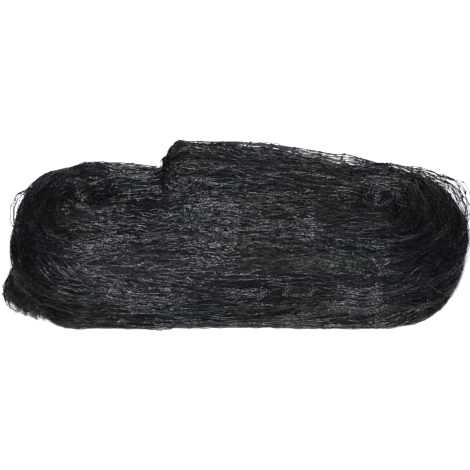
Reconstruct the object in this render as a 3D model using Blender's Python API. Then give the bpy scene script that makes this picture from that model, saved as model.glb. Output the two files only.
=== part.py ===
"""Bird netting wound into a flat oblong hank, as it leaves the maker.

A long fine net is gathered into one soft band and wound round two fingers' width of nothing: the band
runs along the back, round the right end, along the front, round the left end and inside itself again,
and it stops in a blunt rounded tail that lies against the back. The hank rests on its lower edge.

Metres, +Z up, +X along the hank, -Y its broad front. The origin is under the middle of its box.
"""

import math

import bmesh
import bpy
from mathutils import Vector, noise

# Plan: the two eyes that the band is wound round, and the place where its outer end stops
EYE_LEFT = -0.112
EYE_RIGHT = 0.108
TAIL_X = -0.053
TAIL_ROUNDING = 0.014
WINDING_RADIUS = 0.055

# One row for each place round the hank, clockwise from the tail seen from above. A place on a straight
# run is given by its x, and a place on an end by its angle round that eye, in degrees.
STATION_COLUMNS = ("run", "at", "reach", "foot_reach", "rim_height", "rim_round", "groove")
STATIONS = (
    ("back", -0.053, 0.0560, 0.0520, 0.0730, 0.012, 0.0065),
    ("back", 0.000, 0.0560, 0.0520, 0.0710, 0.011, 0.0055),
    ("back", 0.050, 0.0520, 0.0485, 0.0680, 0.011, 0.0050),
    ("right", 0, 0.0460, 0.0430, 0.0605, 0.011, 0.0045),
    ("right", 30, 0.0510, 0.0485, 0.0585, 0.011, 0.0045),
    ("right", 60, 0.0605, 0.0585, 0.0590, 0.011, 0.0050),
    ("right", 90, 0.0685, 0.0675, 0.0590, 0.013, 0.0050),
    ("right", 106, 0.0710, 0.0710, 0.0590, 0.015, 0.0045),
    ("right", 126, 0.0765, 0.0775, 0.0595, 0.018, 0.0040),
    ("right", 150, 0.0810, 0.0825, 0.0610, 0.020, 0.0030),
    ("front", 0.108, 0.0835, 0.0850, 0.0625, 0.021, 0.0025),
    ("front", 0.000, 0.0830, 0.0840, 0.0640, 0.022, 0.0020),
    ("front", -0.112, 0.0845, 0.0865, 0.0630, 0.022, 0.0025),
    ("left", 22, 0.0810, 0.0850, 0.0625, 0.021, 0.0030),
    ("left", 45, 0.0735, 0.0875, 0.0620, 0.020, 0.0040),
    ("left", 56, 0.0680, 0.0790, 0.0620, 0.019, 0.0045),
    ("left", 72, 0.0610, 0.0635, 0.0620, 0.018, 0.0050),
    ("left", 90, 0.0565, 0.0575, 0.0620, 0.018, 0.0055),
    ("left", 120, 0.0480, 0.0475, 0.0645, 0.017, 0.0055),
    ("left", 150, 0.0400, 0.0385, 0.0680, 0.015, 0.0055),
    ("under", -0.112, 0.0375, 0.0355, 0.0705, 0.014, 0.0055),
    ("under", -0.053, 0.0345, 0.0325, 0.0690, 0.013, 0.0060),
)

# How far in the winding has drawn after each turn, as a share of the outer turn's reach
WINDING_COLUMNS = ("turns", "share")
WINDING = (
    (0.0, 1.000),
    (1.0, 0.605),
    (2.0, 0.330),
    (3.0, 0.120),
    (3.6, 0.000),
)

# The top: a groove between each turn and the next, a shallow seam between the eyes and a pit at each
RIM_RISE_SHARE = 0.60
GROOVE_SHARPNESS = 0.65
GROOVE_STARTS = 0.022
SEAM_HEIGHT = 0.0640
SEAM_DEPTH = 0.0015
SEAM_HALF_WIDTH = 0.0070
PIT_DEPTH = 0.0120
PIT_RADIUS = 0.0095
SLIT_HALF_WIDTH = 0.0016

# The side and the foot
RIM_DROP_SHARE = 1.15
RIM_DROP_LIMIT = 0.45
FOOT_ROUND = 0.0070
FLARE_HEIGHT = 0.0200

# Lengthwise folds of the gathered net, and its slower lumps
FOLD_PITCH = 0.0150
FOLD_HEIGHT = 0.0011
FOLD_DRIFT = 1.0
FOLD_DRIFT_SCALE = 2.0
FOLD_DRIFT_SHIFT = (7.0, 3.0, 0.0)
LUMP_HEIGHT = 0.0026
LUMP_LENGTH = 0.060
LUMP_WIDTH = 0.017

# Mesh steps
STRAIGHT_STEP = 0.0082
ARC_STEPS = 30
TAIL_STEPS = (0.0, 0.02, 0.08, 0.18, 0.34, 0.6)
TOP_RINGS = 22
RIM_RINGS = 6
SIDE_RINGS = 12
FOOT_RINGS = 3

BLACK_NET = (0.016, 0.017, 0.019, 1.0)
NET_ROUGHNESS = 0.5


class Loop:
    """The way round the two eyes: back run, right end, front run, left end, and the run under the tail."""

    def __init__(self):
        half_turn = math.pi * WINDING_RADIUS
        lengths = (
            ("back", EYE_RIGHT - TAIL_X),
            ("right", half_turn),
            ("front", EYE_RIGHT - EYE_LEFT),
            ("left", half_turn),
            ("under", TAIL_X - EYE_LEFT),
        )
        self.starts = {}
        self.lengths = dict(lengths)
        self.total = 0.0
        for run, length in lengths:
            self.starts[run] = self.total
            self.total += length

    def way(self, run, at):
        """The share of the loop, 0 to 1, at a station's place."""
        if run == "back":
            along = at - TAIL_X
        elif run == "front":
            along = EYE_RIGHT - at
        elif run == "under":
            along = at - EYE_LEFT
        else:
            along = math.radians(at) * WINDING_RADIUS
        return (self.starts[run] + along) / self.total

    def place(self, way):
        """The point on the line between the eyes, and the direction straight out from it."""
        distance = way * self.total
        run = [name for name, start in self.starts.items() if start <= distance + 1e-9][-1]
        along = distance - self.starts[run]
        turned = along / WINDING_RADIUS
        if run == "back":
            return Vector((TAIL_X + along, 0, 0)), Vector((0, 1, 0))
        if run == "right":
            return Vector((EYE_RIGHT, 0, 0)), Vector((math.sin(turned), math.cos(turned), 0))
        if run == "front":
            return Vector((EYE_RIGHT - along, 0, 0)), Vector((0, -1, 0))
        if run == "left":
            return Vector((EYE_LEFT, 0, 0)), Vector((-math.sin(turned), -math.cos(turned), 0))
        return Vector((EYE_LEFT + along, 0, 0)), Vector((0, 1, 0))

    def mesh_ways(self):
        """The ways at which the mesh has a section: close together round the tail's end."""
        ways = [(TAIL_ROUNDING * share) / self.total for share in TAIL_STEPS]
        first = TAIL_ROUNDING
        for run, length in self.lengths.items():
            if run in ("right", "left"):
                count = ARC_STEPS
            else:
                count = round((length - first) / STRAIGHT_STEP)
            for step in range(count):
                ways.append((self.starts[run] + first + (length - first) * step / count) / self.total)
            first = 0.0
        return ways


LOOP = Loop()
TABLE = [
    dict(zip(STATION_COLUMNS, row)) | {"way": LOOP.way(row[0], row[1])} for row in STATIONS
]
WINDING_TABLE = [dict(zip(WINDING_COLUMNS, row)) for row in WINDING]


def station(column, way):
    """A column of the station table at any way, on a smooth curve through its rows."""
    after = next((i for i, row in enumerate(TABLE) if row["way"] > way), len(TABLE) - 1)
    before = max(after - 1, 0)
    rows = [TABLE[max(before - 1, 0)], TABLE[before], TABLE[after], TABLE[min(after + 1, len(TABLE) - 1)]]
    ways = [row["way"] for row in rows]
    values = [row[column] for row in rows]
    span = ways[2] - ways[1]
    share = (way - ways[1]) / span
    slope_in = (values[2] - values[0]) / (ways[2] - ways[0]) * span
    slope_out = (values[3] - values[1]) / (ways[3] - ways[1]) * span
    return (
        values[1] * (1 + 2 * share) * (1 - share) ** 2
        + slope_in * share * (1 - share) ** 2
        + values[2] * share**2 * (3 - 2 * share)
        + slope_out * share**2 * (share - 1)
    )


def between(rows, value, source, target):
    """Straight-line reading of a table, from its source column to its target column."""
    for low, high in zip(rows, rows[1:]):
        inside = min(low[source], high[source]) <= value <= max(low[source], high[source])
        if inside:
            share = (value - low[source]) / (high[source] - low[source])
            return low[target] + share * (high[target] - low[target])
    return rows[-1][target]


def smooth(share):
    share = min(max(share, 0.0), 1.0)
    return share * share * (3 - 2 * share)


def turns_in(distance, way):
    """How many turns lie between the hank's outside and this distance from the eyes' line."""
    full_reach = station("reach", way) / between(WINDING_TABLE, way, "turns", "share")
    return between(WINDING_TABLE, distance / full_reach, "share", "turns") - way


def tail_share(way):
    """1 on the outer turn, falling to 0 in a quarter circle at the tail's end."""
    along = way * LOOP.total / TAIL_ROUNDING
    if along >= 1:
        return 1.0
    return math.sqrt(1 - (1 - along) ** 2)


def reach_at(column, way):
    """The hank's real reach: the outer turn's, drawn in to the turn under it at the tail."""
    under = TABLE[-1][column]
    return under + (station(column, way) - under) * tail_share(way)


def top_height(distance, way, reach, rim_height):
    """Height of the top face: each turn is crowned, with a groove between it and the next."""
    centre, outward = LOOP.place(way)
    spot = centre + outward * distance
    turn = turns_in(distance, way)
    to_groove = min(0.5, abs(turn - max(1, round(turn))))
    crown = math.sin(math.pi * to_groove) ** GROOVE_SHARPNESS
    height = SEAM_HEIGHT + (rim_height - SEAM_HEIGHT) * smooth(distance / (RIM_RISE_SHARE * reach))
    height -= station("groove", way) * (1 - crown) * smooth(distance / GROOVE_STARTS)
    height -= SEAM_DEPTH * math.exp(-((distance / SEAM_HALF_WIDTH) ** 2))
    for eye in (EYE_LEFT, EYE_RIGHT):
        off = math.hypot(spot.x - eye, spot.y) / PIT_RADIUS
        height -= PIT_DEPTH * math.exp(-off * off)
    return height


def relief(way, girth):
    """How far the net's folds and lumps stand out, at a distance girth past the start of the rim."""
    angle = 2 * math.pi * way
    round_hank = LOOP.total / (2 * math.pi * LUMP_LENGTH)
    spot = Vector((round_hank * math.cos(angle), round_hank * math.sin(angle), girth / LUMP_WIDTH))
    drift = FOLD_DRIFT * noise.noise(spot / FOLD_DRIFT_SCALE + Vector(FOLD_DRIFT_SHIFT))
    fold = math.sin(2 * math.pi * (girth / FOLD_PITCH + drift))
    return FOLD_HEIGHT * fold + LUMP_HEIGHT * noise.noise(spot)


def section(way):
    """Points of the section at this way, as (distance out, height), from the top seam to the foot."""
    reach = reach_at("reach", way)
    foot_reach = reach_at("foot_reach", way)
    rim_height = station("rim_height", way)
    rounding = station("rim_round", way)
    flat_reach = reach - rounding
    points = []
    for ring in range(TOP_RINGS):
        share = ring / TOP_RINGS
        distance = SLIT_HALF_WIDTH + (flat_reach - SLIT_HALF_WIDTH) * share
        height = top_height(distance, way, reach, rim_height)
        calm = smooth(distance / SEAM_HALF_WIDTH)
        points.append((distance, height + calm * relief(way, distance - flat_reach)))
    shoulder = top_height(flat_reach, way, reach, rim_height)
    rim_drop = min(RIM_DROP_SHARE * rounding, RIM_DROP_LIMIT * rim_height)
    for ring in range(RIM_RINGS):
        angle = math.pi / 2 * (1 - ring / RIM_RINGS)
        swell = relief(way, rounding * (math.pi / 2 - angle))
        distance = flat_reach + rounding * math.cos(angle) + swell * math.cos(angle)
        height = shoulder - rim_drop * (1 - math.sin(angle)) + swell * math.sin(angle)
        points.append((distance, height))
    wall_top = shoulder - rim_drop
    wall_girth = rounding * math.pi / 2
    for ring in range(SIDE_RINGS):
        height = wall_top + (FOOT_ROUND - wall_top) * ring / SIDE_RINGS
        flare = (foot_reach - reach) * (1 - smooth(height / FLARE_HEIGHT))
        swell = relief(way, wall_girth + wall_top - height)
        points.append((reach + flare + swell, height))
    foot_swell = relief(way, wall_girth + wall_top - FOOT_ROUND)
    for ring in range(FOOT_RINGS + 1):
        angle = math.pi / 2 * ring / FOOT_RINGS
        tuck = FOOT_ROUND * (1 - math.cos(angle))
        points.append((foot_reach + foot_swell - tuck, FOOT_ROUND * (1 - math.sin(angle))))
    return points


def hank_mesh():
    """Rings of points from the top seam out, down the side and in under the foot, joined into a skin."""
    shape = bmesh.new()
    rings = []
    for way in LOOP.mesh_ways():
        centre, outward = LOOP.place(way)
        for ring, (distance, height) in enumerate(section(way)):
            if ring == len(rings):
                rings.append([])
            spot = centre + outward * distance
            rings[ring].append(shape.verts.new((spot.x, spot.y, height)))
    count = len(rings[0])
    for inner, outer in zip(rings, rings[1:]):
        for here in range(count):
            there = (here + 1) % count
            shape.faces.new((inner[here], inner[there], outer[there], outer[here]))
    shape.faces.new(rings[0])
    shape.faces.new(rings[-1])
    bmesh.ops.recalc_face_normals(shape, faces=shape.faces)
    mesh = bpy.data.meshes.new("net_hank")
    shape.to_mesh(mesh)
    shape.free()
    return mesh


def centre_over_origin(mesh):
    """Moves the mesh so that the middle of its box stands over the origin."""
    for axis in (0, 1):
        values = [vertex.co[axis] for vertex in mesh.vertices]
        middle = (min(values) + max(values)) / 2
        for vertex in mesh.vertices:
            vertex.co[axis] -= middle


def black_net():
    """Black polyethylene twine, slightly glossy."""
    material = bpy.data.materials.new("black_net")
    material.use_nodes = True
    shader = material.node_tree.nodes["Principled BSDF"]
    shader.inputs["Base Color"].default_value = BLACK_NET
    shader.inputs["Roughness"].default_value = NET_ROUGHNESS
    shader.inputs["Metallic"].default_value = 0.0
    return material


def build_hank():
    mesh = hank_mesh()
    centre_over_origin(mesh)
    mesh.materials.append(black_net())
    mesh.shade_smooth()
    hank = bpy.data.objects.new("net_hank", mesh)
    bpy.context.scene.collection.objects.link(hank)
    return hank


for old in list(bpy.data.objects):
    bpy.data.objects.remove(old)
build_hank()
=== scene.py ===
import math

import bpy
import numpy as np
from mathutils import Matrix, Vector
from mathutils.bvhtree import BVHTree


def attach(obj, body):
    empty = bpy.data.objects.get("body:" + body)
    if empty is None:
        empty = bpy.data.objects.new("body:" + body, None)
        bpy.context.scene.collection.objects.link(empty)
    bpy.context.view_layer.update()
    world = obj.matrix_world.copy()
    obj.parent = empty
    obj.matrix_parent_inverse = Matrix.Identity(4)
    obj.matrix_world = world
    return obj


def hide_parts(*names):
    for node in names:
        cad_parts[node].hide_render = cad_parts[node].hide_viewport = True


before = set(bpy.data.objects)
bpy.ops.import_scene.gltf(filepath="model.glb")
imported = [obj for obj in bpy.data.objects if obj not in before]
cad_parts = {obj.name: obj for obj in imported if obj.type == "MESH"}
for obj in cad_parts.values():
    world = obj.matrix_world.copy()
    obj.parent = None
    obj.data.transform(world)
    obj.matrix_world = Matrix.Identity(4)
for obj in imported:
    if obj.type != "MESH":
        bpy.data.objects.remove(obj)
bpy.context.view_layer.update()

# The imported inside of the hank: the many turns of gathered net that lie under the ones that show, drawn
# together into a soft mass of black twine, its gloss turned far down as painted shade for the deep gaps
# among the turns. Its skin follows the wound form a little way in, ridged by the strands that lie side by
# side along it.

LEFT_EYE = -0.1128
RIGHT_EYE = 0.1072
EYES_LINE = 0.0138
TAIL_END = -0.0538
WINDING_RADIUS = 0.055

# How far out the winding still lies after each turn, as a share of the outer turn's reach
TURNS = np.array((0.0, 1.0, 2.0, 3.0, 3.6))
TURN_SHARES = np.array((1.000, 0.605, 0.330, 0.120, 0.000))

# How the wound form is read: sections round it, closer together at the tail's rounded end, rays from a
# pivot inside each section, and the girths and distances out at which its places are kept
SKIN_WAYS = 400
TAIL_WAYS = 24
TAIL_ROUNDING = 0.018
SKIN_RAYS = 220
PIVOT_HEIGHT = 0.030
PIVOT_SHARE = 0.5
RIM_SMOOTHING = 9
GIRTH_STEP = 0.001
GIRTH_FROM = -0.095
GIRTH_TO = 0.165
TOP_EDGE_GIRTH = 0.004
FURTHEST_OUT = 0.1
UPWARD_LEAN = 1e-4
TINY = 1e-9

# The grid over which its top is read from above
TOP_HALF_LENGTH = 0.18
TOP_HALF_DEPTH = 0.08
TOP_STEP = 0.0015
TOP_SMOOTHING = 4
LOOK_FROM = 0.2

# Taken from a table's length, this keeps a look-up inside its last cell
LAST_CELL = 1.001


def unit(vectors):
    return vectors / np.maximum(np.linalg.norm(vectors, axis=-1, keepdims=True), TINY)


def soft_step(share):
    share = np.clip(share, 0.0, 1.0)
    return share * share * (3 - 2 * share)


class Hank:
    """The wound form, read from the solid: a place on its skin for each way round it and each girth.

    The way runs from 0 at the tail's end, along the back, round the right end, along the front and round
    the left end, to 1 under the tail. The girth runs across, from the seam between the eyes (negative),
    over the rim (0), down the side and in under the foot.
    """

    def __init__(self, solid):
        half_turn = math.pi * WINDING_RADIUS
        eyes_apart = RIGHT_EYE - LEFT_EYE
        self.lengths = np.array(
            (RIGHT_EYE - TAIL_END, half_turn, eyes_apart, half_turn, TAIL_END - LEFT_EYE)
        )
        self.starts = np.concatenate(((0.0,), np.cumsum(self.lengths)[:-1]))
        self.total = self.lengths.sum()
        near_tail = np.linspace(0, 1, TAIL_WAYS) ** 2 * TAIL_ROUNDING / self.total
        self.ways = np.union1d(np.linspace(0, 1, SKIN_WAYS + 1), near_tail)
        self.girths = np.arange(GIRTH_FROM, GIRTH_TO, GIRTH_STEP)
        self.read_sections(solid)

    def place(self, way):
        """Points on the line between the eyes, and the directions straight out from it."""
        distance = (way % 1.0) * self.total
        run = np.searchsorted(self.starts, distance + TINY, side="right") - 1
        along = distance - self.starts[run]
        sine, cosine = np.sin(along / WINDING_RADIUS), np.cos(along / WINDING_RADIUS)
        flat, one = np.zeros_like(along), np.ones_like(along)
        right, left = flat + RIGHT_EYE, flat + LEFT_EYE
        x = np.choose(run, (TAIL_END + along, right, RIGHT_EYE - along, left, LEFT_EYE + along))
        out_x = np.choose(run, (flat, sine, flat, -sine, flat))
        out_y = np.choose(run, (one, cosine, -one, -cosine, one))
        return np.stack((x, flat + EYES_LINE, flat), -1), np.stack((out_x, out_y, flat), -1)

    def read_sections(self, solid):
        """Casts rays out from inside each section and spaces what they hit evenly along its girth."""
        mesh = solid.data
        tree = BVHTree.FromPolygons([v.co for v in mesh.vertices], [p.vertices for p in mesh.polygons])
        centres, outs = self.place(self.ways)
        centres[-1], outs[-1] = centres[0], outs[0]
        up = Vector((0, 0, 1))
        sections = []
        for centre, out in zip(centres, outs):
            centre, out = Vector(centre), Vector(out)
            start = centre + up * PIVOT_HEIGHT
            reach = self.hit_distance(tree, start, out)
            pivot = reach * PIVOT_SHARE
            high = math.pi - math.atan2(self.hit_distance(tree, start, up), pivot)
            low = math.atan2(PIVOT_HEIGHT, pivot) - math.pi
            section = []
            for angle in np.linspace(high, low, SKIN_RAYS):
                ray = out * math.cos(angle) + up * math.sin(angle)
                away = self.hit_distance(tree, start + out * pivot, ray)
                section.append((pivot + away * math.cos(angle), PIVOT_HEIGHT + away * math.sin(angle)))
            sections.append(section)
        sections = np.array(sections)
        sections[..., 0] = np.maximum(sections[..., 0], 0.0)
        sections[..., 1] = np.maximum(sections[..., 1], 0.0)
        steps = np.linalg.norm(np.diff(sections, axis=1), axis=2)
        girth = np.concatenate((np.zeros((len(steps), 1)), np.cumsum(steps, axis=1)), axis=1)
        rim = np.take_along_axis(girth, np.argmax(sections.sum(2), axis=1)[:, None], 1)[:, 0]
        around = np.pad(rim[:-1], RIM_SMOOTHING, mode="wrap")
        window = np.ones(2 * RIM_SMOOTHING + 1) / (2 * RIM_SMOOTHING + 1)
        rim = np.convolve(around, window, mode="valid")
        rim = np.append(rim, rim[0])
        self.seam, self.underside = -rim, girth[:, -1] - rim
        distance = np.array([np.interp(self.girths, g - r, s[:, 0]) for g, r, s in zip(girth, rim, sections)])
        height = np.array([np.interp(self.girths, g - r, s[:, 1]) for g, r, s in zip(girth, rim, sections)])
        self.points = centres[:, None, :] + outs[:, None, :] * distance[..., None]
        self.points[..., 2] += height
        self.reach = distance.max(axis=1)
        # The lean also gives a direction to the places past a section's two ends
        ups = np.broadcast_to((0.0, 0.0, UPWARD_LEAN), self.points.shape)
        across = np.gradient(self.points, axis=1)
        along = np.roll(self.points[:-1], -1, 0) - np.roll(self.points[:-1], 1, 0)
        along = np.concatenate((along, along[:1]))
        stretch = np.linalg.norm(across, axis=2)[..., None]
        self.normals = unit(unit(np.cross(along, across)) * stretch + ups)
        self.read_top(tree)
        outward = np.arange(0.0, FURTHEST_OUT, GIRTH_STEP)
        top = self.girths <= TOP_EDGE_GIRTH
        self.girth_at = np.array([np.interp(outward, d[top], self.girths[top]) for d in distance])

    def read_top(self, tree):
        """Heights of the top over a grid, smoothed as a net bridges the grooves."""
        self.grid_x = np.arange(-TOP_HALF_LENGTH, TOP_HALF_LENGTH, TOP_STEP)
        self.grid_y = np.arange(-TOP_HALF_DEPTH, TOP_HALF_DEPTH, TOP_STEP)
        down = Vector((0, 0, -1))
        depths = np.array(
            [
                [self.hit_distance(tree, Vector((x, y, LOOK_FROM)), down) for y in self.grid_y]
                for x in self.grid_x
            ]
        )
        heights = np.where(depths > 0, LOOK_FROM - depths, 0.0)
        for _ in range(TOP_SMOOTHING):
            heights = (heights + np.roll(heights, 1, 0) + np.roll(heights, -1, 0)) / 3
            heights = (heights + np.roll(heights, 1, 1) + np.roll(heights, -1, 1)) / 3
        self.heights = heights

    def top(self, x, y, rise):
        """Places on the top by x and y, raised by rise, and the directions straight out of it."""
        i = np.clip((x - self.grid_x[0]) / TOP_STEP, 0, len(self.grid_x) - LAST_CELL)
        j = np.clip((y - self.grid_y[0]) / TOP_STEP, 0, len(self.grid_y) - LAST_CELL)
        left, front = i.astype(int), j.astype(int)
        i, j = i - left, j - front
        a, b = self.heights[left, front], self.heights[left + 1, front]
        c, d = self.heights[left, front + 1], self.heights[left + 1, front + 1]
        height = a * (1 - i) * (1 - j) + b * i * (1 - j) + c * (1 - i) * j + d * i * j
        slope_x = ((b - a) * (1 - j) + (d - c) * j) / TOP_STEP
        slope_y = ((c - a) * (1 - i) + (d - b) * i) / TOP_STEP
        out = unit(np.stack((-slope_x, -slope_y, np.ones_like(height)), -1))
        return np.stack((x, y, height), -1) + out * rise[..., None], out

    @staticmethod
    def hit_distance(tree, start, ray):
        """How far off a ray meets the solid, or 0 where it misses it."""
        spot = tree.ray_cast(start, ray)[0]
        return (spot - start).length if spot is not None else 0.0

    def look(self, table, way, column):
        """A table's value at any ways and columns, straight between its rows and columns."""
        row = np.interp(way % 1.0, self.ways, np.arange(len(self.ways)))
        low = np.clip(row.astype(int), 0, len(self.ways) - 2)
        column = np.clip(column, 0, table.shape[1] - LAST_CELL)
        left = column.astype(int)
        row_share, column_share = row - low, column - left
        if table.ndim == 3:
            row_share, column_share = row_share[..., None], column_share[..., None]
        near = table[low, left] * (1 - column_share) + table[low, left + 1] * column_share
        far = table[low + 1, left] * (1 - column_share) + table[low + 1, left + 1] * column_share
        return near * (1 - row_share) + far * row_share

    def skin(self, way, girth, rise=0.0):
        """Places on the skin, raised by rise along its outward direction, and those directions."""
        column = (girth - GIRTH_FROM) / GIRTH_STEP
        out = unit(self.look(self.normals, way, column))
        return self.look(self.points, way, column) + out * np.asarray(rise)[..., None], out

    def top_girth(self, way, distance):
        """The girth at which the top lies this far out from the line between the eyes."""
        return self.look(self.girth_at, way, distance / GIRTH_STEP)

    def outer_reach(self, way):
        """The reach that the outer turn would have if it ran on round the whole hank."""
        share = np.interp(way % 1.0, TURNS, TURN_SHARES)
        return np.interp(way % 1.0, self.ways, self.reach) / share


def ripple(x, y, size, seed, count=7):
    """A smooth random wave over x and y, about -1 to 1, with swells about size long."""
    dice = np.random.default_rng(seed)
    heading = dice.uniform(0, 2 * math.pi, count)
    stretch = dice.uniform(0.6, 1.6, count) * 2 * math.pi / size
    start = dice.uniform(0, 2 * math.pi, count)
    waves = [
        np.sin(x * np.cos(h) * s + y * np.sin(h) * s + p) for h, s, p in zip(heading, stretch, start)
    ]
    return sum(waves) / math.sqrt(count)


# The mass lies back from the net along the back rim, where daylight shows through it, and at the foot of
# the left end. One row for each place along the rim: the way, and how far the mass lies back (a minus
# brings it forward).
OPEN_RIM = np.array((
    (0.000, 0.0004),
    (0.004, -0.0018),
    (0.012, -0.0008),
    (0.024, 0.0004),
    (0.060, 0.0010),
    (0.086, 0.0028),
    (0.100, 0.0012),
    (0.120, 0.0026),
    (0.140, 0.0042),
    (0.182, 0.0042),
    (0.205, 0.0014),
    (0.232, 0.0018),
    (0.252, 0.0062),
    (0.280, 0.0066),
    (0.292, 0.0030),
    (0.306, 0.0034),
    (0.325, 0.0024),
    (0.345, 0.0000),
    (0.840, 0.0000),
    (0.870, 0.0010),
    (0.984, 0.0004),
    (0.990, 0.0012),
    (0.997, 0.0030),
    (1.000, 0.0030),
))
OPEN_RIM_INSIDE = 0.018
OPEN_RIM_OUTSIDE = 0.018
OPEN_RIM_FADE = 0.009
OPEN_CORNER = np.array((
    (0.722, 0.0000),
    (0.731, 0.0040),
    (0.740, 0.0115),
    (0.748, 0.0135),
    (0.758, 0.0115),
    (0.768, 0.0080),
    (0.788, 0.0000),
))
OPEN_CORNER_GIRTH = 0.036
OPEN_CORNER_FADE = 0.018

# The girths between which the mass at that foot is also drawn up the side
TUCK_FROM = 0.048
TUCK_FADE = 0.016
TUCK_TO = 0.095
TUCK_CLOSING = 0.020

# By how much the side is fuller than the solid, way by way: fuller on the front half of the right end, and
# slimmer where that end meets the front and at the middle of the left end
FULLER = np.array((
    (0.290, 0.0000),
    (0.330, 0.0020),
    (0.378, 0.0020),
    (0.398, 0.0000),
    (0.415, -0.0018),
    (0.440, 0.0000),
    (0.770, 0.0000),
    (0.794, -0.0028),
    (0.815, -0.0028),
    (0.832, 0.0000),
))
FULLER_FROM = 0.004
FULLER_TO = 0.054
FULLER_FADE = 0.010


def drawn_in(way, girth):
    """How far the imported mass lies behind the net's own outline."""
    way = way % 1.0
    inside = soft_step((girth + OPEN_RIM_INSIDE) / OPEN_RIM_FADE)
    rim = inside * soft_step((OPEN_RIM_OUTSIDE - girth) / OPEN_RIM_FADE)
    corner = soft_step((girth - OPEN_CORNER_GIRTH) / OPEN_CORNER_FADE)
    side = soft_step((girth - FULLER_FROM) / FULLER_FADE) * soft_step((FULLER_TO - girth) / FULLER_FADE)
    rim_depth, corner_depth, fullness = (
        np.interp(way, table[:, 0], table[:, 1]) for table in (OPEN_RIM, OPEN_CORNER, FULLER)
    )
    return rim_depth * rim + corner_depth * corner - fullness * side


def tucked(way, girth):
    """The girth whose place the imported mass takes, where the foot flares out beyond it."""
    depth = np.interp(way % 1.0, OPEN_CORNER[:, 0], OPEN_CORNER[:, 1])
    share = soft_step((girth - TUCK_FROM) / TUCK_FADE) * soft_step((TUCK_TO - girth) / TUCK_CLOSING)
    return girth - depth * share


# How deep the mass lies, the ridges in it and how they drift, and the lines along its top, side and foot
CORE_DEPTH = 0.0020
CORE_RIDGE = 0.0007
CORE_RIDGE_PITCH = 0.0034
CORE_TOP_LINES = 44
CORE_SIDE_LINES = 40
CORE_FOOT_LINES = 12
CORE_FOOT_GIRTH = 0.066
CORE_DRIFT = 2.4
CORE_FINE_DRIFT = 0.4
CORE_LUMPS = 0.4
CORE_LOWEST = 0.0002


def core_mesh(hank):
    """The mass's skin, a grid of the ways round the hank by the girths from its seam to its underside."""
    ways = hank.ways[:-1]
    top = np.linspace(0, 1, CORE_TOP_LINES, endpoint=False)
    side = np.linspace(0, 1, CORE_SIDE_LINES, endpoint=False)
    foot = np.linspace(0, 1, CORE_FOOT_LINES)
    seam, underside = hank.seam[:-1, None], hank.underside[:-1, None]
    girth = np.concatenate(
        (
            seam * (1 - top),
            CORE_FOOT_GIRTH * side + 0 * seam,
            CORE_FOOT_GIRTH + (underside - CORE_FOOT_GIRTH) * foot,
        ),
        axis=1,
    )
    way = np.broadcast_to(ways[:, None], girth.shape)
    along = way * hank.total
    fine_drift = ripple(along, girth * 3, size=0.02, seed=4)
    drift = ripple(along, girth, size=0.05, seed=3) + CORE_FINE_DRIFT * fine_drift
    ridges = np.sin(2 * math.pi * girth / CORE_RIDGE_PITCH + CORE_DRIFT * drift)
    lumps = ripple(along, girth * 4, size=0.025, seed=5)
    rise = -CORE_DEPTH + CORE_RIDGE * ridges + CORE_LUMPS * CORE_RIDGE * lumps
    rise -= drawn_in(way, girth)
    points, _ = hank.skin(way, tucked(way, girth), rise)
    points[..., 2] = np.maximum(points[..., 2], CORE_LOWEST)
    rows, columns = girth.shape
    index = np.arange(rows * columns).reshape(rows, columns)
    ahead = np.roll(index, -1, axis=0)
    quads = np.stack((index[:, :-1], index[:, 1:], ahead[:, 1:], ahead[:, :-1]), -1).reshape(-1, 4)
    mesh = bpy.data.meshes.new("net_core")
    mesh.from_pydata(points.reshape(-1, 3).tolist(), [], quads.tolist())
    mesh.shade_smooth()
    return mesh


class Shade:
    """A value in a material. Maths on values adds its Math nodes, and node() adds any other node."""

    def __init__(self, tree, socket=None):
        self.tree = tree
        self.socket = socket

    def node(self, kind, settings, sockets, output):
        """Adds a node of this kind: its settings first, then its sockets' values or links."""
        added = self.tree.nodes.new(kind)
        for name, value in settings.items():
            setattr(added, name, value)
        for name, value in sockets.items():
            self.give(added.inputs[name], value)
        return Shade(self.tree, added.outputs[output])

    def give(self, socket, value):
        """Links a value to a socket, or sets the socket to a plain number or colour."""
        if isinstance(value, Shade):
            self.tree.links.new(value.socket, socket)
        else:
            socket.default_value = value

    def math(self, operation, first, second):
        return self.node("ShaderNodeMath", {"operation": operation}, {0: first, 1: second}, 0)

    def __add__(self, other):
        return self.math("ADD", self, other)

    def __radd__(self, other):
        return self.math("ADD", other, self)

    def __mul__(self, other):
        return self.math("MULTIPLY", self, other)

    def __rmul__(self, other):
        return self.math("MULTIPLY", other, self)

    def __sub__(self, other):
        return self.math("SUBTRACT", self, other)

    def __rsub__(self, other):
        return self.math("SUBTRACT", other, self)


# The finish of the twine: how fine its patches, its flecks and the twist of its yarns are, how far the two
# shades part, and how far the flecks change its roughness
PATCH_SCALE = 30.0
FLECK_SCALE = 480.0
TWIST_SCALE = 500.0
SHADE_CONTRAST = 1.7
SHADE_BALANCE = 1.15
ROUGHNESS_RANGE = 0.12
TWIST_STRENGTH = 0.8

# The Mix node takes its two colours by these inputs and gives the mixed one by this output
MIX_FIRST, MIX_SECOND, MIX_RESULT = 6, 7, 2


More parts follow.
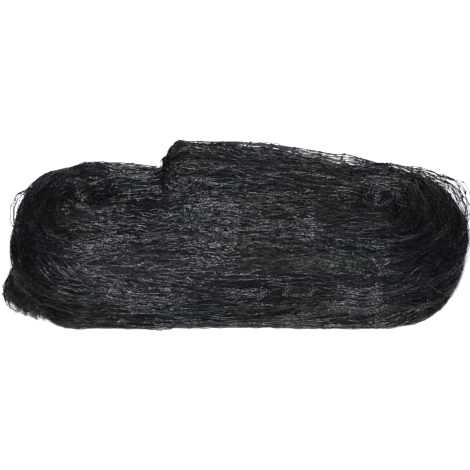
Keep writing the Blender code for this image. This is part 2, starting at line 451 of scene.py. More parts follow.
def net_finish(name, dark, light, roughness, gloss, sheen, twist_height):
    """Black polyethylene twine: two shades of it, in patches and flecks, and the twist of its yarns."""
    material = bpy.data.materials.new(name)
    material.use_nodes = True
    tree = material.node_tree
    shader = tree.nodes["Principled BSDF"]
    start = Shade(tree)
    place = start.node("ShaderNodeTexCoord", {}, {}, "Object")

    def noise(scale, detail):
        sockets = {"Vector": place, "Scale": scale, "Detail": detail}
        return start.node("ShaderNodeTexNoise", {}, sockets, "Fac")

    patches = noise(PATCH_SCALE, 3.0)
    flecks = noise(FLECK_SCALE, 1.0)
    mixed = (patches + flecks) * SHADE_CONTRAST - SHADE_BALANCE
    colour = start.node(
        "ShaderNodeMix",
        {"data_type": "RGBA", "clamp_factor": True},
        {"Factor": mixed, MIX_FIRST: dark, MIX_SECOND: light},
        MIX_RESULT,
    )
    start.give(shader.inputs["Base Color"], colour)
    start.give(shader.inputs["Specular IOR Level"], gloss)
    start.give(shader.inputs["Specular Tint"], sheen)
    start.give(shader.inputs["Roughness"], flecks * ROUGHNESS_RANGE + (roughness - ROUGHNESS_RANGE / 2))
    twist = noise(TWIST_SCALE, 1.0)
    bump = start.node(
        "ShaderNodeBump", {}, {"Height": twist, "Distance": twist_height, "Strength": TWIST_STRENGTH}, 0
    )
    start.give(shader.inputs["Normal"], bump)
    return material


def piece(name, mesh, material):
    """Hangs a mesh on the part's one body with its finish."""
    mesh.materials.append(material)
    made = bpy.data.objects.new(name, mesh)
    bpy.context.scene.collection.objects.link(made)
    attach(made, "root")
    return made


hank = Hank(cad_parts["net_hank"])
INK = (0.0012, 0.0012, 0.0016, 1)
SOOT = (0.0040, 0.0040, 0.0050, 1)
PLAIN = (1, 1, 1, 1)
# Painted shade: the mass's twine is near-black and almost without gloss, to stand for the shade among the
# turns
shaded_core_finish = net_finish(
    "packed_net_painted_shade", INK, SOOT, roughness=0.75, gloss=0.08, sheen=PLAIN, twist_height=0.0004
)
core = piece("net_core", core_mesh(hank), shaded_core_finish)
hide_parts("net_hank")

# The gathered net that shows: knotted diamond mesh pulled almost shut along the winding, many layers
# deep. Each patch is a run of that mesh, bars of twine from knot to knot, whose edges sink into the mass.

TWINE_RADIUS = 0.00030
BAR = 0.019
SINK = 0.0026
KNOT_LENGTH = 0.00080
KNOT_WIDTH = 0.00052

# A patch's ground takes in this much of the way round to either side, in so many points. On the top it
# keeps a little way out from the line between the eyes.
SIDE_SPREAD = 0.25
TURN_SPREAD = 0.4
TRACK_POINTS = 121
INNERMOST = 0.0005


class Net:
    """Lines of twine and knots, gathered up into one piece."""

    def __init__(self):
        self.lines = []
        self.knots = []

    def add_lines(self, points, outs, radius):
        points[..., 2] = np.maximum(points[..., 2], radius)
        self.lines.append((points, outs, np.full(len(points), radius)))

    def add_knots(self, points, alongs, outs, size):
        points[..., 2] = np.maximum(points[..., 2], size * KNOT_LENGTH)
        self.knots.append((points, alongs, outs, np.full(len(points), size)))

    @staticmethod
    def tubes(points, outs, radii):
        """Three-sided tubes along lines of points: their corners and faces. The cut ends have corners of
        their own, so that they don't turn the shading of the twine."""
        alongs = unit(np.gradient(points, axis=1))
        outs = unit(outs - alongs * (outs * alongs).sum(-1, keepdims=True))
        sides = np.cross(alongs, outs)
        turns = (0.0, 2 * math.pi / 3, 4 * math.pi / 3)
        radii = radii[:, None, None]
        rings = [points + radii * (outs * math.cos(turn) + sides * math.sin(turn)) for turn in turns]
        count, steps = points.shape[:2]
        rings = np.stack(rings, axis=2)
        index = np.arange(count * steps * 3).reshape(count, steps, 3)
        turned = np.roll(index, -1, axis=2)
        faces = np.stack((index[:, :-1], turned[:, :-1], turned[:, 1:], index[:, 1:]), -1)
        ends = np.concatenate((rings[:, 0, ::-1], rings[:, -1]))
        caps = index.size + np.arange(ends.size // 3).reshape(-1, 3)
        return np.concatenate((rings.reshape(-1, 3), ends.reshape(-1, 3))), faces.reshape(-1, 4), caps

    @staticmethod
    def studs(points, alongs, outs, sizes):
        """An eight-sided stud for each knot: its corners and faces."""
        outs = unit(outs - alongs * (outs * alongs).sum(-1, keepdims=True))
        sides = np.cross(alongs, outs)
        long, wide = sizes[:, None] * KNOT_LENGTH, sizes[:, None] * KNOT_WIDTH
        ends = (points - alongs * long, points + alongs * long)
        waist = (points + outs * wide, points + sides * wide, points - outs * wide, points - sides * wide)
        first = 6 * np.arange(len(points))[:, None]
        faces = []
        for here, there in ((0, 1), (1, 2), (2, 3), (3, 0)):
            faces.append(first + (0, 2 + there, 2 + here))
            faces.append(first + (1, 2 + here, 2 + there))
        return np.stack(ends + waist, axis=1).reshape(-1, 3), np.concatenate(faces)

    def mesh(self, name):
        """All the twine, in groups of lines with as many points, and then all the knots."""
        corners, faces, many = [], [], 0
        for steps in sorted({group[0].shape[1] for group in self.lines}):
            groups = [group for group in self.lines if group[0].shape[1] == steps]
            points, quads, caps = self.tubes(*(np.concatenate(part) for part in zip(*groups)))
            corners.append(points)
            faces += (quads + many).tolist() + (caps + many).tolist()
            many += len(points)
        if self.knots:
            points, facets = self.studs(*(np.concatenate(part) for part in zip(*self.knots)))
            corners.append(points)
            faces += (facets + many).tolist()
        mesh = bpy.data.meshes.new(name)
        mesh.from_pydata(np.concatenate(corners).tolist(), [], faces)
        mesh.shade_smooth()
        return mesh


def lengths_from_middle(points):
    """How far along a line each of its points lies from its middle one."""
    steps = np.linalg.norm(np.diff(points, axis=0), axis=1)
    lengths = np.concatenate(((0.0,), np.cumsum(steps)))
    return lengths - lengths[len(lengths) // 2]


class SideGround:
    """The hank's side as the ground for a patch: u runs round the hank at one girth, v down the side."""

    def __init__(self, way, girth, turn=0.0):
        self.girth = girth
        self.cosine, self.sine = math.cos(turn), math.sin(turn)
        self.ways = way + np.linspace(-SIDE_SPREAD, SIDE_SPREAD, TRACK_POINTS)
        points, _ = hank.skin(self.ways, np.full(TRACK_POINTS, girth))
        self.lengths = lengths_from_middle(points)

    def lie(self, u, v, rise):
        way = np.interp(u * self.cosine - v * self.sine, self.lengths, self.ways)
        girth = self.girth + u * self.sine + v * self.cosine
        return hank.skin(way, tucked(way, girth), rise - drawn_in(way, girth))


class TurnGround:
    """The top of the winding: u runs along a turn as it spirals in, v outward across it."""

    def __init__(self, way, out):
        self.ways = way + np.linspace(-TURN_SPREAD, TURN_SPREAD, TRACK_POINTS)
        turn = np.interp(-out / hank.outer_reach(np.array(way)), -TURN_SHARES, TURNS)
        shares = np.interp(turn + self.ways - way, TURNS, TURN_SHARES)
        self.outs = hank.outer_reach(self.ways) * shares
        points, _ = hank.skin(self.ways, hank.top_girth(self.ways, self.outs))
        self.lengths = lengths_from_middle(points)

    def lie(self, u, v, rise):
        way = np.interp(u, self.lengths, self.ways)
        out = np.maximum(np.interp(u, self.lengths, self.outs) + v, INNERMOST)
        girth = hank.top_girth(way, out)
        return hank.skin(way, girth, rise - drawn_in(way, girth))


class FlatGround:
    """The flat middle of the top, for net that lies straight across its turns at its own heading."""

    def __init__(self, x, y, heading):
        self.x, self.y = x, y
        self.cosine, self.sine = math.cos(heading), math.sin(heading)

    def lie(self, u, v, rise):
        x = self.x + u * self.cosine - v * self.sine
        y = self.y + u * self.sine + v * self.cosine
        return hank.top(x, y, rise)


# How unevenly the knots lie across a patch, as a share of its pitch, and up and down. The last rows and
# columns of a patch, as shares of its half, sink into the mass, and a knot stands a little proud.
ACROSS_SCATTER = 0.25
HEIGHT_SCATTER = 0.00030
SINKING_ENDS = 0.3
SINKING_SIDES = 0.2
KNOT_PROUD = 0.0001

# How far a slack bar bends in one, two and three bows: across, as a share of its length, and up and down
ACROSS_BENDS = (0.020, 0.014, 0.009)
HEIGHT_BENDS = (0.00026, 0.00018, 0.00014)

# A bar with a step longer than this share of it is left out: it would leap off the tail's blunt end
LONGEST_STEP = 0.8


def lay_net(net, ground, dice, rows, columns, pitch, rise, slant=0.0, fan=0.0, bar=BAR, twine=1.0,
            knot=1.0, scatter=0.10, sink=SINK, kink=1.5, steps=5):
    """Adds a patch of diamond mesh: rows of knots a bar apart, and the bars that join the rows."""
    row, column = np.meshgrid(np.arange(rows + 1), np.arange(columns), indexing="ij")
    shape = row.shape
    u = (row - rows / 2 + dice.uniform(-0.5, 0.5)) * bar + dice.normal(0, scatter * bar, shape)
    v = (column + 0.5 * (row % 2) - columns / 2) * pitch + dice.normal(0, ACROSS_SCATTER * pitch, shape)
    v = v * (1 + fan * u / (rows * bar)) + slant * u
    from_end = np.abs(2 * row / rows - 1)
    from_side = np.abs(2 * column / max(columns - 1, 1) - 1)
    edge = np.maximum(
        soft_step((from_end - (1 - SINKING_ENDS)) / SINKING_ENDS),
        soft_step((from_side - (1 - SINKING_SIDES)) / SINKING_SIDES),
    )
    h = rise + dice.normal(0, HEIGHT_SCATTER, shape) - sink * edge
    near, at = row[:-1].ravel(), column[:-1].ravel()
    starts, ends = [], []
    for step in (0, 1):
        to = at + np.where(near % 2 == 1, step, -step)
        kept = (to >= 0) & (to < columns)
        starts.append((near * columns + at)[kept])
        ends.append(((near + 1) * columns + to)[kept])
    start, end = np.concatenate(starts), np.concatenate(ends)
    share = np.linspace(0, 1, steps)[None, :]
    bows = [np.sin(count * math.pi * share) for count in (1, 2, 3)]

    def strung(knots):
        knots = knots.ravel()
        return knots[start, None] * (1 - share) + knots[end, None] * share

    def some(size):
        return dice.normal(0, size, (len(start), 1))

    line_v, line_h = strung(v), strung(h)
    for bend, bow in zip(ACROSS_BENDS, bows):
        line_v = line_v + some(bend * kink * bar) * bow
    for bend, bow in zip(HEIGHT_BENDS, bows):
        line_h = line_h + some(bend * kink) * bow
    points, outs = ground.lie(strung(u), line_v, line_h)
    whole = np.linalg.norm(np.diff(points, axis=1), axis=2).max(axis=1) < LONGEST_STEP * bar
    net.add_lines(points[whole], outs[whole], TWINE_RADIUS * twine)
    tied, tied_outs = ground.lie(u.ravel(), v.ravel(), h.ravel() + KNOT_PROUD)
    alongs = unit(np.gradient(tied.reshape(*shape, 3), axis=0)).reshape(-1, 3)
    net.add_knots(tied, alongs, tied_outs, knot)


LANE_POINTS = 600
STATION_SCATTER = 0.2


def way_steps(lane, spacing, dice, top):
    """Ways round the hank about a spacing apart, measured along a lane on its top or its side."""
    ways = np.linspace(0, 1, LANE_POINTS)
    girth = np.full(LANE_POINTS, lane)
    if top:
        girth = hank.top_girth(ways, girth)
    points, _ = hank.skin(ways, girth)
    lengths = np.concatenate(((0.0,), np.cumsum(np.linalg.norm(np.diff(points, axis=0), axis=1))))
    stations = np.arange(dice.uniform(0, spacing), lengths[-1], spacing)
    return np.interp(stations + dice.normal(0, STATION_SCATTER * spacing, len(stations)), lengths, ways)


def named(columns, table):
    """A table's rows, with their values under the names of its columns."""
    return [dict(zip(columns, row)) for row in table]


# How each layer lies, deepest first: the spacing of its patches, and the least and most of their sizes
LAYER_COLUMNS = ("spacing", "rows", "columns", "pitch", "rise", "slant", "twine", "knot", "kink", "steps")
LAYERS = (
    (0.140, (7, 10), (6, 8), (0.0016, 0.0026), (-0.0022, -0.0016), 0.03, (0.95, 1.15), 0.7, 0.6, 3),
    (0.085, (5, 9), (6, 9), (0.0028, 0.0040), (-0.0017, -0.0011), 0.10, (0.95, 1.10), 1.0, 1.6, 5),
    (0.100, (3, 6), (4, 7), (0.0036, 0.0060), (-0.0011, -0.0004), 0.22, (0.85, 1.05), 1.2, 2.0, 8),
    (0.064, (2, 4), (2, 5), (0.0036, 0.0070), (-0.0008, -0.0001), 0.42, (0.80, 1.00), 1.2, 2.3, 8),
)

# The lanes of patches: the girths of those on the side, and the distances out of those on the top, which
# stop short of the rim. On the top the bars shorten towards the line between the eyes.
SIDE_LANES = np.linspace(-0.010, 0.064, 8)
TOP_LANES = np.linspace(0.003, 0.072, 9)
TOP_INNERMOST = 0.002
LANE_SHIFT = 0.0035
RIM_MARGIN = 0.010
SHORTEST_BAR = 0.008
BAR_PER_REACH = 1.1

# The least and most that a patch fans out, and that its rows are scattered
FANNING = (-0.5, 0.9)
SCATTERING = (0.03, 0.14)

# Which of the nets a patch goes to: the middle one, give or take a wave over the hank and some chance. The
# top's lanes are counted a metre further on, which gives them a wave of their own.
TONE_MIDDLE = 1.5
TONE_SWING = 1.6
TONE_SIZE = 0.09
TONE_SEED = 90
TONE_SCATTER = 0.35


def lay_layer(nets, seed, layer):
    """One layer over the whole hank, its patches dealt out among the nets by where they lie."""
    dice = np.random.default_rng(seed)
    for top, lanes in ((False, SIDE_LANES), (True, TOP_LANES)):
        for lane in lanes + dice.uniform(-LANE_SHIFT, LANE_SHIFT, len(lanes)):
            for way in way_steps(max(lane, TOP_INNERMOST) if top else lane, layer["spacing"], dice, top):
                if top and lane > np.interp(way, hank.ways, hank.reach) - RIM_MARGIN:
                    continue
                ground = TurnGround(way, lane) if top else SideGround(way, lane)
                bar = min(BAR, max(SHORTEST_BAR, BAR_PER_REACH * lane)) if top else BAR
                across = lane + 1.0 if top else lane
                swing = TONE_SWING * ripple(way * hank.total, across, TONE_SIZE, TONE_SEED)
                tone = int(TONE_MIDDLE + swing + dice.normal(0, TONE_SCATTER))
                lay_net(
                    nets[min(max(tone, 0), len(nets) - 1)], ground, dice,
                    rows=int(dice.integers(*layer["rows"])),
                    columns=int(dice.integers(*layer["columns"])),
                    pitch=dice.uniform(*layer["pitch"]),
                    slant=dice.normal(0, layer["slant"]),
                    fan=dice.uniform(*FANNING),
                    rise=dice.uniform(*layer["rise"]),
                    bar=bar,
                    twine=dice.uniform(*layer["twine"]),
                    knot=layer["knot"],
                    scatter=dice.uniform(*SCATTERING),
                    kink=layer["kink"],
                    steps=layer["steps"],
                )


# Fans of net that lie across the turns in the middle of the top, some opened out towards one end
FAN_COLUMNS = ("x", "y", "heading", "rows", "columns", "pitch", "fan", "rise")
FANS = (
    (-0.018, -0.004, -18, 2, 9, 0.0040, 0.5, 0.0000),
    (-0.026, -0.022, -14, 3, 8, 0.0040, 0.6, 0.0000),
    (-0.010, -0.034, -16, 2, 8, 0.0040, -0.4, 0.0000),
    (-0.024, -0.048, -10, 3, 6, 0.0036, 0.4, -0.0002),
    (-0.108, -0.014, -18, 2, 9, 0.0036, 0.4, 0.0000),
    (-0.096, -0.028, -15, 3, 7, 0.0036, 0.5, -0.0001),
    (-0.114, -0.004, -16, 2, 8, 0.0034, 0.3, 0.0002),
    (-0.092, -0.010, -14, 3, 8, 0.0036, 0.3, 0.0002),
    (-0.102, 0.004, -8, 2, 7, 0.0032, 0.3, 0.0001),
    (-0.034, 0.010, -20, 2, 8, 0.0036, 0.3, 0.0002),
    (-0.004, -0.014, -12, 3, 8, 0.0040, 0.4, 0.0001),
    (-0.022, -0.028, -12, 3, 8, 0.0038, 0.4, 0.0001),
    (0.024, -0.018, 22, 1, 8, 0.0036, 0.2, 0.0001),
    (0.050, -0.020, -14, 2, 7, 0.0036, 0.3, 0.0000),
    (0.112, 0.024, -12, 2, 7, 0.0032, 0.4, -0.0002),
    (-0.084, 0.014, 8, 3, 6, 0.0030, 0.3, -0.0008),
    (-0.050, 0.013, -7, 3, 6, 0.0030, 0.3, -0.0008),
    (-0.014, 0.015, 6, 3, 6, 0.0030, 0.3, -0.0008),
    (0.022, 0.013, -6, 3, 6, 0.0030, 0.3, -0.0008),
    (0.056, 0.014, 7, 3, 6, 0.0030, 0.3, -0.0008),
    (0.084, 0.013, -7, 2, 6, 0.0030, 0.3, -0.0008),
)


def lay_fans(net, seed):
    dice = np.random.default_rng(seed)
    for fan in named(FAN_COLUMNS, FANS):
        ground = FlatGround(fan["x"], fan["y"], math.radians(fan["heading"]))
        lay_net(
            net, ground, dice, fan["rows"], fan["columns"], fan["pitch"],
            fan=fan["fan"], rise=fan["rise"], knot=1.1, scatter=0.08, kink=1.8,
        )


# Net that lies at its own angle on the side: over the tail's blunt end, the raised outer turn over the left
# shoulder, the sweep down over the left rim, the row of short folds along the front, the smooth flap low on
# its right, the tight runs along the foot, the slant up round the right end, and two on the front's left
RUN_COLUMNS = ("way", "girth", "turn", "rows", "columns", "pitch", "bar", "rise", "kink", "knot")
RUNS = (
    (0.010, -0.006, 0, 2, 8, 0.0018, 0.010, 0.0012, 0.8, 1.0),
    (0.846, -0.003, 0, 3, 7, 0.0016, 0.019, 0.0010, 0.8, 1.0),
    (0.872, -0.003, 0, 3, 8, 0.0018, 0.019, 0.0016, 0.8, 1.0),
    (0.900, -0.002, 0, 3, 8, 0.0018, 0.019, 0.0016, 0.8, 1.0),
    (0.935, -0.002, 0, 3, 8, 0.0018, 0.019, 0.0026, 0.8, 1.0),
    (0.962, -0.002, 0, 2, 7, 0.0018, 0.019, 0.0016, 0.8, 1.0),
    (0.735, -0.002, -34, 2, 8, 0.0036, 0.019, 0.0002, 1.5, 1.3),
    (0.712, 0.002, -26, 3, 6, 0.0040, 0.019, 0.0002, 1.5, 1.3),
    (0.690, 0.010, -20, 3, 4, 0.0044, 0.019, 0.0001, 1.5, 1.3),
    (0.668, 0.018, -14, 2, 5, 0.0044, 0.019, 0.0001, 1.5, 1.3),
    (0.559, 0.015, 62, 6, 3, 0.0015, 0.0013, 0.0018, 0.2, 1.9),
    (0.535, 0.015, 58, 6, 3, 0.0015, 0.0013, 0.0018, 0.2, 1.9),
    (0.512, 0.015, 64, 6, 3, 0.0015, 0.0013, 0.0018, 0.2, 1.9),
    (0.489, 0.016, 56, 6, 3, 0.0015, 0.0013, 0.0018, 0.2, 1.9),
    (0.436, 0.022, 0, 3, 9, 0.0019, 0.019, 0.0004, 0.4, 1.4),
    (0.434, 0.036, 1, 3, 8, 0.0024, 0.019, 0.0000, 0.6, 1.0),
    (0.560, 0.052, 0, 6, 7, 0.0026, 0.019, -0.0004, 0.8, 1.0),
    (0.650, 0.054, 1, 5, 4, 0.0026, 0.019, -0.0004, 0.8, 1.0),
    (0.400, 0.046, 20, 3, 6, 0.0034, 0.019, 0.0000, 0.5, 1.0),
    (0.390, 0.056, 16, 3, 5, 0.0034, 0.019, 0.0000, 0.5, 1.0),
    (0.642, 0.020, -4, 3, 6, 0.0028, 0.019, 0.0002, 1.2, 1.1),
    (0.650, 0.029, 3, 3, 6, 0.0030, 0.019, 0.0001, 1.2, 1.1),
)


def lay_runs(net, seed):
    dice = np.random.default_rng(seed)
    for run in named(RUN_COLUMNS, RUNS):
        lay_net(
            net, SideGround(run["way"], run["girth"], math.radians(run["turn"])), dice, run["rows"],
            run["columns"], run["pitch"], rise=run["rise"], bar=run["bar"], scatter=0.06, kink=run["kink"],
            knot=run["knot"],
        )


# A few strands that ride over the dark right end, and small snarls of short bars at the two eyes
ARC_COLUMNS = ("way", "out", "rows", "columns", "pitch")
ARCS = (
    (0.255, 0.030, 3, 3, 0.0060),
    (0.290, 0.044, 3, 3, 0.0050),
    (0.320, 0.050, 2, 2, 0.0050),
    (0.270, 0.016, 2, 3, 0.0040),
)
SNARL_COLUMNS = ("x", "y", "heading", "rows", "columns")
SNARLS = (
    (-0.117, 0.021, 60, 1, 4),
    (-0.110, 0.014, -40, 2, 4),
    (-0.124, 0.028, 20, 2, 3),
    (-0.104, 0.020, 10, 2, 3),
    (0.104, 0.006, -50, 2, 3),
    (0.116, 0.012, 40, 2, 3),
)
SNARL_BAR = 0.006
SNARL_PITCH = 0.0022


def lay_arcs_and_snarls(net, seed):
    dice = np.random.default_rng(seed)
    for arc in named(ARC_COLUMNS, ARCS):
        ground = TurnGround(arc["way"], arc["out"])
        lay_net(
            net, ground, dice, arc["rows"], arc["columns"], arc["pitch"],
            rise=0.0006, twine=1.2, knot=1.5, kink=0.8,
        )
    for snarl in named(SNARL_COLUMNS, SNARLS):
        ground = FlatGround(snarl["x"], snarl["y"], math.radians(snarl["heading"]))
        lay_net(
            net, ground, dice, snarl["rows"], snarl["columns"], SNARL_PITCH,
            fan=0.5, rise=0.0004, bar=SNARL_BAR, knot=1.3, scatter=0.2, sink=0.0010,
        )


# Where the loose net's bars are given a painted highlight and where painted shade: the middle of each place,
# x, y and z, and how far the place reaches along each of them
PAINTED_HIGHLIGHT_PLACES = np.array((
    (-0.106, -0.016, 0.064, 0.030, 0.036, 0.020),
    (-0.022, -0.016, 0.064, 0.028, 0.038, 0.020),
    (0.023, -0.018, 0.062, 0.008, 0.012, 0.020),
    (0.050, -0.018, 0.063, 0.015, 0.013, 0.020),
    (0.112, 0.024, 0.058, 0.012, 0.014, 0.020),
    (-0.074, -0.069, 0.034, 0.038, 0.010, 0.012),
    (0.062, -0.070, 0.012, 0.042, 0.014, 0.010),
    (0.090, -0.069, 0.026, 0.034, 0.012, 0.018),
))
PAINTED_SHADOW_PLACES = np.array((
    (-0.148, 0.002, 0.060, 0.020, 0.024, 0.020),
    (-0.156, -0.044, 0.040, 0.022, 0.026, 0.038),
    (-0.134, 0.029, 0.063, 0.018, 0.007, 0.010),
    (-0.114, 0.034, 0.066, 0.014, 0.005, 0.010),
    (-0.045, 0.056, 0.060, 0.010, 0.020, 0.020),
    (0.000, 0.049, 0.067, 0.062, 0.006, 0.010),
    (0.085, 0.042, 0.061, 0.022, 0.006, 0.010),
    (0.150, -0.020, 0.055, 0.028, 0.044, 0.035),
    (0.107, -0.067, 0.050, 0.030, 0.005, 0.003),
    (0.062, -0.069, 0.043, 0.014, 0.006, 0.008),
))
# Half in painted shade: between the two bright middles, before the right eye, and along the top's front edge
PAINTED_HALF_SHADE_PLACES = np.array((
    (-0.068, -0.018, 0.061, 0.014, 0.030, 0.020),
    (0.090, -0.010, 0.062, 0.030, 0.024, 0.020),
    (0.044, -0.052, 0.060, 0.074, 0.015, 0.012),
    (-0.070, -0.054, 0.058, 0.050, 0.013, 0.012),
))

# The least and most of a place's squared reach at which a spot still lies in it, as its edge is ragged
RAGGED = (0.4, 1.6)


def within(places, spots, dice):
    """Whether each spot lies in one of the places, whose edges are ragged."""
    ragged = dice.uniform(*RAGGED, len(spots))
    return np.any([(((spots - place[:3]) / place[3:]) ** 2).sum(-1) < ragged for place in places], axis=0)


# The share of the bars moved into painted shade, and of those given the painted highlight, in each sort of
# place
PLACE_SHARES = {
    "plain": (0.25, 0.18),
    "shaded": (0.68, 0.03),
    "bright": (0.02, 0.78),
    "dull": (0.85, 0.00),
}


def share_out(nets, names, seed):
    """Moves some bars of the loose nets into painted shade or painted highlight, as their place has it."""
    dice = np.random.default_rng(seed)
    laid = [(name, group) for name in names for group in nets[name].lines]
    for name in names:
        nets[name].lines = []
    for name, group in laid:
        spots = group[0][:, group[0].shape[1] // 2]
        sort = np.full(len(spots), "plain", dtype="<U6")
        sort[within(PAINTED_HALF_SHADE_PLACES, spots, dice)] = "shaded"
        sort[within(PAINTED_HIGHLIGHT_PLACES, spots, dice)] = "bright"
        sort[within(PAINTED_SHADOW_PLACES, spots, dice)] = "dull"
        shares = np.array([PLACE_SHARES[each] for each in sort])
        lot = dice.uniform(0, 1, len(spots))
        dull, highlighted = lot < shares[:, 0], lot > 1 - shares[:, 1]
        for to, picked in (("net_painted_shade", dull), ("net_painted_highlight", highlighted), (name, ~dull & ~highlighted)):
            nets[to].lines.append(tuple(part[picked] for part in group))


# The nets' finishes: the lighter of the twine's two shades, its roughness, its gloss and its sheen
SLATE = (0.0062, 0.0128, 0.0160, 1)
PLUM = (0.0150, 0.0098, 0.0180, 1)
MOSS = (0.0110, 0.0142, 0.0090, 1)
# Painted highlight: a lighter twine, made far glossier than the rest, for the bars that should shine
PAINTED_HIGHLIGHT = (0.0150, 0.0155, 0.0180, 1)
# Painted shade: the near-black, barely glossy twine of the deepest layer and of the bars moved into shade
PAINTED_SHADE = (0.0018, 0.0018, 0.0026, 1)
FINISHES = {
    "net_deep_painted_shade": (PAINTED_SHADE, 0.40, 0.12, PLAIN),
    "net_painted_shade": (PAINTED_SHADE, 0.36, 0.20, PLAIN),
    "net_slate": (SLATE, 0.28, 0.51, (0.80, 1.00, 1.00, 1)),
    "net_plum": (PLUM, 0.30, 0.59, (1.00, 0.85, 1.00, 1)),
    "net_moss": (MOSS, 0.34, 0.43, (1.00, 0.98, 0.82, 1)),
    "net_painted_highlight": (PAINTED_HIGHLIGHT, 0.26, 0.71, PLAIN),
}
TWIST_HEIGHT = 0.00045

nets = {name: Net() for name in FINISHES}
LOOSE = ("net_slate", "net_plum", "net_moss")
loose = [nets[name] for name in LOOSE]
# The deepest layer is laid in painted shade: its twine is darker and duller, standing for the shadow of the
# layers above it
for depth, layer in enumerate(named(LAYER_COLUMNS, LAYERS)):
    lay_layer([nets["net_deep_painted_shade"]] if depth == 0 else loose, 31 + depth, layer)
# Bars in the listed places go into painted shade or painted highlight; the fans, runs, arcs and snarls all
# take the painted highlight
share_out(nets, LOOSE, seed=71)
lay_fans(nets["net_painted_highlight"], seed=41)
lay_runs(nets["net_painted_highlight"], seed=51)
lay_arcs_and_snarls(nets["net_painted_highlight"], seed=52)
for name, (tint, roughness, gloss, sheen) in FINISHES.items():
    piece(name, nets[name].mesh(name), net_finish(name, INK, tint, roughness, gloss, sheen, TWIST_HEIGHT))

# The open net along the back rim: one or two layers of the mesh that stand clear of the mass, so that
# the light shows between their strands, and the spread mesh at the foot of the left end.

# How far the veil's upper edge stands off the wound form, way by way
LIFTS = np.array((
    (0.040, 0.0000),
    (0.090, 0.0008),
    (0.130, 0.0010),
    (0.160, 0.0026),
    (0.187, 0.0052),
    (0.203, 0.0022),
    (0.212, 0.0010),
    (0.235, 0.0004),
    (0.262, 0.0010),
    (0.278, 0.0026),
    (0.294, 0.0080),
    (0.310, 0.0080),
    (0.330, 0.0026),
    (0.350, 0.0000),
    (0.774, 0.0000),
    (0.788, 0.0040),
    (0.814, 0.0056),
    (0.830, 0.0008),
    (0.840, 0.0000),
    (0.895, 0.0010),
    (0.935, 0.0030),
    (0.965, 0.0014),
    (0.985, 0.0000),
))
VEIL_HEIGHT = 0.006

# The veils along the back rim, round the upper right end, and over the left end and its shoulder
VEIL_COLUMNS = ("way", "girth", "rows", "columns", "twine")
VEILS = (
    (0.085, 0.000, 6, 4, 0.8),
    (0.140, 0.001, 6, 5, 0.8),
    (0.165, 0.002, 5, 4, 0.8),
    (0.215, 0.001, 5, 4, 0.9),
    (0.260, 0.001, 5, 4, 0.9),
    (0.295, 0.001, 5, 4, 0.9),
    (0.300, 0.003, 4, 3, 0.8),
    (0.806, 0.003, 2, 2, 0.9),
    (0.890, 0.001, 4, 3, 0.8),
    (0.945, 0.001, 4, 4, 0.8),
)

# The spread mesh at the foot of the left end, in runs of short bars
CORNER_COLUMNS = ("way", "girth", "rows", "columns", "pitch", "slant", "rise")
CORNER_NET = (
    (0.778, 0.054, 2, 5, 0.0024, 0.30, -0.0004),
    (0.768, 0.057, 3, 7, 0.0020, 0.10, -0.0002),
    (0.758, 0.058, 3, 6, 0.0020, -0.10, 0.0000),
    (0.747, 0.0525, 3, 6, 0.0022, 0.10, -0.0002),
    (0.736, 0.0525, 3, 5, 0.0022, -0.10, -0.0006),
    (0.765, 0.058, 3, 4, 0.0022, 0.40, 0.0002),
    (0.753, 0.0555, 3, 4, 0.0022, -0.40, 0.0000),
    (0.742, 0.0535, 3, 4, 0.0022, 0.40, -0.0002),
    (0.766, 0.048, 4, 6, 0.0022, 0.20, -0.0016),
    (0.750, 0.049, 4, 6, 0.0022, -0.20, -0.0020),
    (0.758, 0.044, 4, 6, 0.0022, 0.10, -0.0018),
    (0.761, 0.058, 4, 5, 0.0018, 0.30, 0.0000),
    (0.770, 0.058, 4, 5, 0.0018, -0.30, 0.0000),
    (0.751, 0.0545, 4, 5, 0.0018, -0.20, -0.0002),
)
CORNER_BAR = 0.008


class Veil(SideGround):
    """Net that stands up on edge between the mass and its own upper edge: u runs along the rim, v up."""

    def lie(self, u, v, rise):
        way = np.interp(u, self.lengths, self.ways)
        low = -drawn_in(way, np.full_like(way, self.girth))
        high = np.interp(way % 1.0, LIFTS[:, 0], LIFTS[:, 1])
        return hank.skin(way, self.girth + rise, low + (high - low) * (v / VEIL_HEIGHT + 0.5))


class SkinGround(SideGround):
    """The wound form's own skin, also where the mass lies back from it: u runs round, v down."""

    def lie(self, u, v, rise):
        way = np.interp(u, self.lengths, self.ways)
        return hank.skin(way, self.girth + v, rise)


def lay_open_net(seed):
    dice = np.random.default_rng(seed)
    net = Net()
    for veil in named(VEIL_COLUMNS, VEILS):
        lay_net(
            net, Veil(veil["way"], veil["girth"]), dice, veil["rows"], veil["columns"],
            VEIL_HEIGHT / veil["columns"], rise=0.0, twine=veil["twine"], scatter=0.06, sink=0.0, knot=1.7,
            kink=0.4,
        )
    for run in named(CORNER_COLUMNS, CORNER_NET):
        lay_net(
            net, SkinGround(run["way"], run["girth"]), dice, run["rows"], run["columns"], run["pitch"],
            slant=run["slant"], rise=run["rise"], bar=CORNER_BAR, twine=0.8, sink=0.0010, knot=1.2,
        )
    return net


# Stray strands that have slipped off the hank, each a shallow loop with a knot every bar
STRAY_COLUMNS = ("from_way", "to_way", "girth", "girth_drift", "lift")
STRAYS = (
    (0.776, 0.830, 0.006, -0.004, 0.0064),
    (0.778, 0.833, 0.004, -0.003, 0.0040),
    (0.782, 0.828, 0.002, 0.000, 0.0054),
    (0.240, 0.292, 0.000, 0.002, 0.0006),
    (0.250, 0.310, -0.002, 0.003, 0.0014),
    (0.274, 0.342, 0.001, 0.004, 0.0100),
    (0.276, 0.346, -0.002, 0.003, 0.0078),
    (0.135, 0.205, 0.001, 0.001, 0.0018),
    (0.088, 0.120, 0.000, 0.001, 0.0014),
    (0.600, 0.640, 0.060, 0.004, 0.0010),
    (0.620, 0.655, 0.058, 0.006, 0.0010),
)
STRAY_POINTS = 25
STRAY_WOBBLE = 0.0008
STRAY_RIPPLE = 0.0005
STRAY_SINK = 0.0022
STRAY_TWINE = 1.1
STRAY_KNOT = 1.6


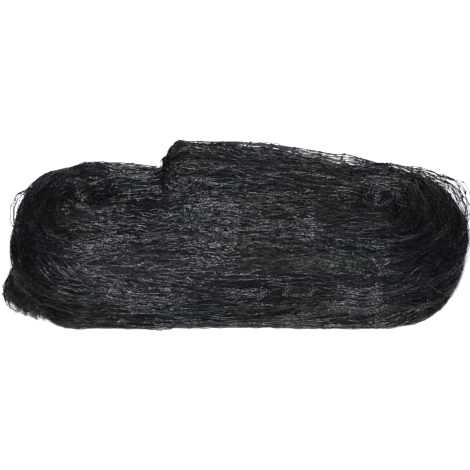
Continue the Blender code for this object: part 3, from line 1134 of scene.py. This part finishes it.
def lay_strays(net, seed):
    dice = np.random.default_rng(seed)
    share = np.linspace(0, 1, STRAY_POINTS)
    for stray in named(STRAY_COLUMNS, STRAYS):
        way = stray["from_way"] + (stray["to_way"] - stray["from_way"]) * share
        start = dice.uniform(0, 2 * math.pi)
        wobble = STRAY_WOBBLE * np.sin(5 * math.pi * share + start)
        girth = stray["girth"] + stray["girth_drift"] * share + wobble
        loop = np.sin(math.pi * share)
        lift = stray["lift"] * loop ** 0.6 + STRAY_RIPPLE * np.sin(7 * math.pi * share + start)
        points, outs = hank.skin(way, girth, lift - STRAY_SINK * (1 - loop ** 0.3))
        net.add_lines(points[None], outs[None], TWINE_RADIUS * STRAY_TWINE)
        lengths = lengths_from_middle(points)
        tied = np.arange(lengths[0] + 0.4 * BAR, lengths[-1], BAR)
        spots = np.stack([np.interp(tied, lengths, points[:, axis]) for axis in range(3)], -1)
        slopes = np.gradient(points, axis=0)
        alongs = unit(np.stack([np.interp(tied, lengths, slopes[:, axis]) for axis in range(3)], -1))
        ups = np.stack([np.interp(tied, lengths, outs[:, axis]) for axis in range(3)], -1)
        net.add_knots(spots, alongs, ups, STRAY_KNOT)


open_net = lay_open_net(seed=61)
lay_strays(open_net, seed=62)
open_finish = net_finish(
    "net_open", INK, SOOT, roughness=0.38, gloss=0.5, sheen=PLAIN, twist_height=TWIST_HEIGHT
)
piece("net_open", open_net.mesh("net_open"), open_finish)

# The studio: a plain white floor, a soft light in front, a wide faint one behind, and a camera that looks
# down on the hank's front from 45 degrees.

CAMERA_AWAY = 1.5
CAMERA_TILT = math.radians(45)
CAMERA_AIM = Vector((0, 0, 0.033))
LENS = 150
FILM_WIDTH = 36
FLOOR_HALF = 6.0
PAPER = (0.9, 0.9, 0.9, 1)
PAPER_ROUGHNESS = 0.9
LAMP_COLOUR = (0.93, 0.94, 1.0)
SKY_COLOUR = (1, 1, 1, 1)
SKY_STRENGTH = 0.16


def floor():
    mesh = bpy.data.meshes.new("floor")
    corners = [(FLOOR_HALF * x, FLOOR_HALF * y, 0) for x, y in ((-1, -1), (1, -1), (1, 1), (-1, 1))]
    mesh.from_pydata(corners, [], [(0, 1, 2, 3)])
    material = bpy.data.materials.new("white_paper")
    material.use_nodes = True
    paper = material.node_tree.nodes["Principled BSDF"]
    paper.inputs["Base Color"].default_value = PAPER
    paper.inputs["Roughness"].default_value = PAPER_ROUGHNESS
    mesh.materials.append(material)
    made = bpy.data.objects.new("floor", mesh)
    bpy.context.scene.collection.objects.link(made)


def soft_light(name, place, width, depth, power):
    lamp = bpy.data.lights.new(name, "AREA")
    lamp.shape = "RECTANGLE"
    lamp.size, lamp.size_y, lamp.energy = width, depth, power
    lamp.color = LAMP_COLOUR
    made = bpy.data.objects.new(name, lamp)
    made.location = place
    made.rotation_euler = (CAMERA_AIM - Vector(place)).to_track_quat("-Z", "Y").to_euler()
    bpy.context.scene.collection.objects.link(made)


def camera():
    lens = bpy.data.cameras.new("camera")
    lens.lens, lens.sensor_width = LENS, FILM_WIDTH
    made = bpy.data.objects.new("camera", lens)
    back = Vector((0, -math.cos(CAMERA_TILT), math.sin(CAMERA_TILT)))
    made.location = CAMERA_AIM + back * CAMERA_AWAY
    made.rotation_euler = (-back).to_track_quat("-Z", "Y").to_euler()
    bpy.context.scene.collection.objects.link(made)
    bpy.context.scene.camera = made


def sky():
    world = bpy.data.worlds.new("sky")
    world.use_nodes = True
    background = world.node_tree.nodes["Background"]
    background.inputs["Color"].default_value = SKY_COLOUR
    background.inputs["Strength"].default_value = SKY_STRENGTH
    bpy.context.scene.world = world


floor()
soft_light("key", (0, -0.95, 1.44), width=0.25, depth=0.35, power=54)
soft_light("back", (0.3, 1.2, 1.3), width=0.8, depth=0.8, power=6)
camera()
sky()
bpy.context.scene.view_settings.view_transform = "Standard"
